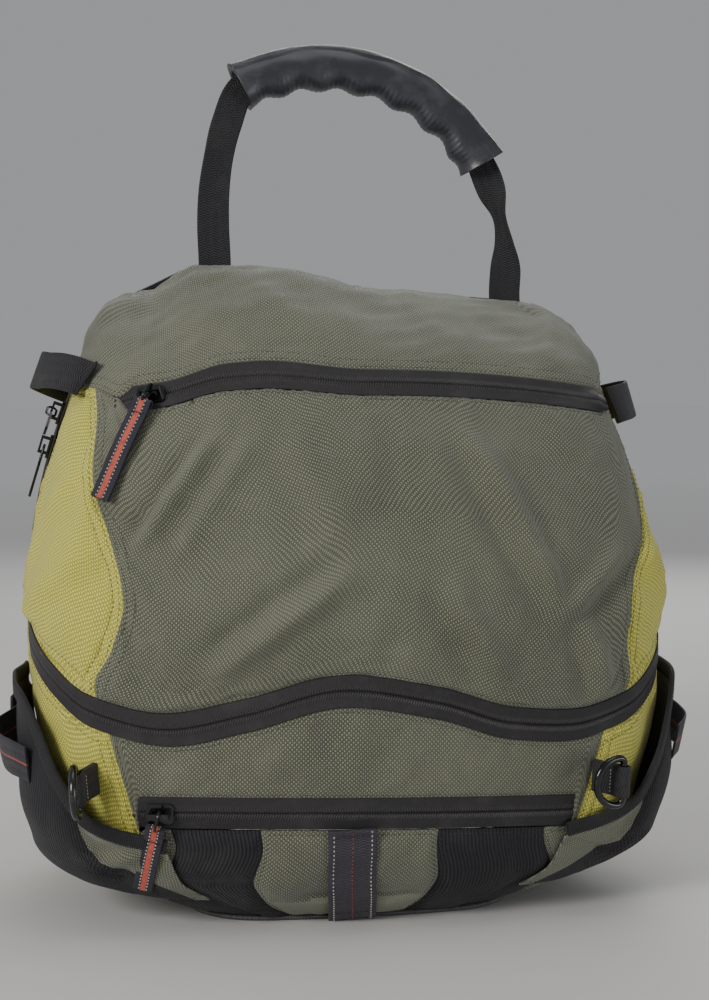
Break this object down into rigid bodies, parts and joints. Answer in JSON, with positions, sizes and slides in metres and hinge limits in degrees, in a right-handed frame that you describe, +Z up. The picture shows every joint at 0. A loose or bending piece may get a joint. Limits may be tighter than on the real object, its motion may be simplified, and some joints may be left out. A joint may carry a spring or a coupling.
{
  "type": "rope storage bag",
  "caption": "Upright sewn fabric rope bag with a hinged zipped back panel, curved front pockets, side pockets, padded shoulder straps and a moulded carry grip.",
  "frame": {"origin": "middle of the flat underside of the base", "axes": "+Z up along the bag's height, -Y towards the front panel, +X towards the bag's right-hand side seen from the front"},
  "size_m": [0.455, 0.296, 0.564],
  "materials": {
    "olive_fabric": "coarse woven",
    "lime_fabric": "coarse woven",
    "ribbed_fabric": "ribbed, abrasion resistant",
    "black_fabric": "woven",
    "mesh_pad": "air mesh over foam",
    "zip_tape": "woven zip tape with a coil chain",
    "pull_webbing": "woven tape with a dashed tracer",
    "webbing": "ribbed webbing",
    "zip_metal": "gloss black",
    "black_steel": "gloss black",
    "lock_plastic": "moulded, satin",
    "grip_rubber": "moulded, soft"
  },
  "bodies": {
    "shell": {"front_panel": "olive_fabric", "top_yoke": "olive_fabric", "lower_front_band": "olive_fabric", "side_panel_left": "lime_fabric", "lower_gusset_left": "lime_fabric", "side_panel_right": "lime_fabric", "lower_gusset_right": "lime_fabric", "boot_corner_left": "olive_fabric", "boot_patch_left": "ribbed_fabric", "boot_centre": "olive_fabric", "boot_patch_right": "ribbed_fabric", "boot_corner_right": "olive_fabric", "base_panel": "black_fabric", "main_zip_tape_shell": "zip_tape", "hinge_gusset": "black_fabric", "front_zip_tape": "zip_tape", "lower_zip_tape": "zip_tape", "waist_zip_tape": "zip_tape", "main_zip_upper_slider": "zip_metal", "side_pocket_left": "ribbed_fabric", "pocket_binding_left": "black_fabric", "side_pocket_right": "ribbed_fabric", "pocket_binding_right": "black_fabric", "front_strap": "pull_webbing", "d_ring_tab_left": "webbing", "d_ring_tab_right": "webbing", "upper_strap_left": "webbing", "lower_lock_loop_left": "webbing", "lower_strap_left": "webbing", "upper_strap_right": "webbing", "lower_lock_loop_right": "webbing", "lower_strap_right": "webbing"},
    "back": {"back_panel": "black_fabric", "back_pad_left": "mesh_pad", "back_pad_right": "mesh_pad", "lumbar_pad": "mesh_pad", "main_zip_tape_panel": "zip_tape", "shoulder_strap_left": "mesh_pad", "shoulder_strap_right": "mesh_pad", "shoulder_webbing_left": "webbing", "shoulder_webbing_right": "webbing", "shoulder_lock_left": "lock_plastic", "shoulder_lock_right": "lock_plastic"},
    "front_slider": {"front_zip_slider": "zip_metal"},
    "front_pull": {"front_zip_pull_ring": "zip_metal", "front_zip_pull_tab": "pull_webbing"},
    "lower_slider": {"lower_zip_slider": "zip_metal"},
    "lower_pull": {"lower_zip_pull_ring": "zip_metal", "lower_zip_pull_tab": "pull_webbing"},
    "waist_slider": {"waist_zip_slider": "zip_metal"},
    "waist_pull": {"waist_zip_pull": "zip_metal"},
    "main_slider": {"main_zip_lower_slider": "zip_metal"},
    "main_lower_pull": {"main_zip_lower_pull": "zip_metal"},
    "main_upper_pull": {"main_zip_upper_pull": "zip_metal"},
    "d_ring_left": {"d_ring_left": "black_steel"},
    "d_ring_right": {"d_ring_right": "black_steel"},
    "lower_lock_left": {"lower_lock_left": "lock_plastic"},
    "lower_lock_right": {"lower_lock_right": "lock_plastic"},
    "handle": {"handle_webbing": "webbing", "handle_grip": "grip_rubber"}
  },
  "joints": [
    {"name": "back_panel_opening", "type": "hinge", "parent": "shell", "child": "back", "pos_m": [0, 0.092, 0.016], "axis": [-1, 0, 0], "range_deg": [0, 60]},
    {"name": "carry_handle_fold", "type": "hinge", "parent": "shell", "child": "handle", "pos_m": [-0.077, 0.057, 0.4194], "axis": [0.9947, 0, -0.1027], "range_deg": [-75, 95]},
    {"name": "front_zip_travel", "type": "hinge", "parent": "shell", "child": "front_slider", "pos_m": [-0.00321, 0.35087, 0.11443], "axis": [-0.008, 0.4587, 0.8885], "range_deg": [0, 33.52]},
    {"name": "front_pull_swing", "type": "hinge", "parent": "front_slider", "child": "front_pull", "pos_m": [-0.13068, -0.07213, 0.33327], "axis": [-0.966, 0.2262, -0.1255], "range_deg": [0, 120]},
    {"name": "lower_zip_travel", "type": "hinge", "parent": "shell", "child": "lower_slider", "pos_m": [-0.00484, 0.35484, 0.00892], "axis": [0.0332, 0.1398, 0.9896], "range_deg": [0, 29.15]},
    {"name": "lower_pull_swing", "type": "hinge", "parent": "lower_slider", "child": "lower_pull", "pos_m": [-0.13031, -0.1186, 0.07807], "axis": [-0.9668, 0.2557, -0.0037], "range_deg": [0, 120]},
    {"name": "waist_zip_travel", "type": "slide", "parent": "shell", "child": "waist_slider", "axis": [0.0028, -0.9685, -0.249], "range_m": [0, 0.0565]},
    {"name": "waist_pull_swing", "type": "hinge", "parent": "waist_slider", "child": "waist_pull", "pos_m": [0.21176, 0.04812, 0.19441], "axis": [0.0028, -0.9685, -0.249], "range_deg": [0, 120]},
    {"name": "main_zip_travel", "type": "hinge", "parent": "shell", "child": "main_slider", "pos_m": [0.179, 0.081, 0.18], "axis": [0, -1, 0], "range_deg": [0, 34.54]},
    {"name": "main_lower_pull_swing", "type": "hinge", "parent": "main_slider", "child": "main_lower_pull", "pos_m": [-0.19215, 0.081, 0.29317], "axis": [0, 1, 0], "range_deg": [0, 150]},
    {"name": "main_upper_pull_swing", "type": "hinge", "parent": "shell", "child": "main_upper_pull", "pos_m": [-0.18699, 0.081, 0.31744], "axis": [-0.3516, 0, -0.9362], "range_deg": [0, 120]},
    {"name": "d_ring_left_swing", "type": "hinge", "parent": "shell", "child": "d_ring_left", "pos_m": [-0.17821, -0.11597, 0.09599], "axis": [-0.082, -0.1134, 0.9902], "range_deg": [-110, 58]},
    {"name": "lower_lock_left_tilt", "type": "hinge", "parent": "shell", "child": "lower_lock_left", "pos_m": [-0.20607, 0.062, 0.11697], "axis": [0.0013, 0.0088, -1], "range_deg": [0, 35]},
    {"name": "d_ring_right_swing", "type": "hinge", "parent": "shell", "child": "d_ring_right", "pos_m": [0.15669, -0.12559, 0.09036], "axis": [0.0255, -0.0788, 0.9966], "range_deg": [-45, 150]},
    {"name": "lower_lock_right_tilt", "type": "hinge", "parent": "shell", "child": "lower_lock_right", "pos_m": [0.20607, 0.062, 0.11697], "axis": [0.0013, -0.0088, 1], "range_deg": [0, 35]}
  ]
}
